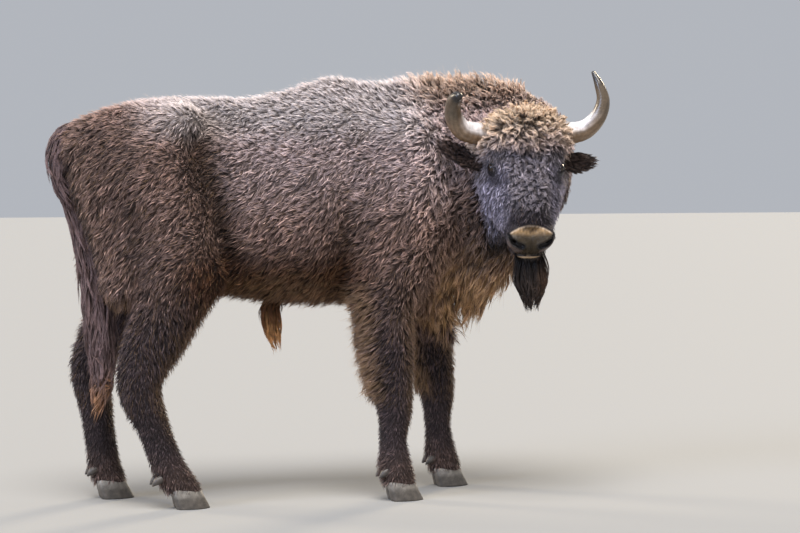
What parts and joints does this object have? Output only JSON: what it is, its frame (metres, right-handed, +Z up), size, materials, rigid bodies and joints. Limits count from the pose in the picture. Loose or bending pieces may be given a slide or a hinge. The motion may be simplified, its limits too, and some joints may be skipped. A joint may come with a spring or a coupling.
{
  "type": "wisent bull",
  "caption": "Life-size young European bison bull standing with its head turned to its right: curved horns, beard, throat mane and tasselled tail.",
  "frame": {"origin": "floor level under the middle of the bounding box", "axes": "+X forward along the trunk, +Y to the animal's left, +Z up; the head is turned towards -Y"},
  "size_m": [2.015, 0.8784, 1.6678],
  "materials": {
    "body_coat": "matte shaggy brown coat",
    "leg_coat": "matte dark brown short coat",
    "face_coat": "matte dark grey-brown curly coat",
    "muzzle": "moist, semi-gloss nose pad",
    "beard": "matte near-black long hair",
    "long_hair": "matte long brown hair with lighter tips",
    "horn": "satin grey-beige horn, darker at the tip",
    "hoof": "matte dark grey-brown horn",
    "eye": "wet gloss"
  },
  "bodies": {
    "root": {"barrel": "body_coat", "beard": "beard", "brisket": "body_coat", "cannon_front_left": "leg_coat", "cannon_front_right": "leg_coat", "cannon_hind_left": "leg_coat", "cannon_hind_right": "leg_coat", "claw_inner_front_left": "hoof", "claw_inner_front_right": "hoof", "claw_inner_hind_left": "hoof", "claw_inner_hind_right": "hoof", "claw_outer_front_left": "hoof", "claw_outer_front_right": "hoof", "claw_outer_hind_left": "hoof", "claw_outer_hind_right": "hoof", "dewclaw_inner_front_left": "hoof", "dewclaw_inner_front_right": "hoof", "dewclaw_inner_hind_left": "hoof", "dewclaw_inner_hind_right": "hoof", "dewclaw_outer_front_left": "hoof", "dewclaw_outer_front_right": "hoof", "dewclaw_outer_hind_left": "hoof", "dewclaw_outer_hind_right": "hoof", "ear_left": "face_coat", "ear_right": "face_coat", "eye_left": "eye", "eye_right": "eye", "foot_front_left": "leg_coat", "foot_front_right": "leg_coat", "foot_hind_left": "leg_coat", "foot_hind_right": "leg_coat", "forearm_front_left": "leg_coat", "forearm_front_right": "leg_coat", "forequarters": "body_coat", "gaskin_hind_left": "leg_coat", "gaskin_hind_right": "leg_coat", "head": "face_coat", "hindquarters": "body_coat", "horn_left": "horn", "horn_right": "horn", "jaw": "face_coat", "muzzle": "muzzle", "neck": "body_coat", "sheath_tuft": "long_hair", "tail_brush": "long_hair", "tail_dock": "body_coat", "thigh_hind_left": "body_coat", "thigh_hind_right": "body_coat"}
  },
  "joints": []
}
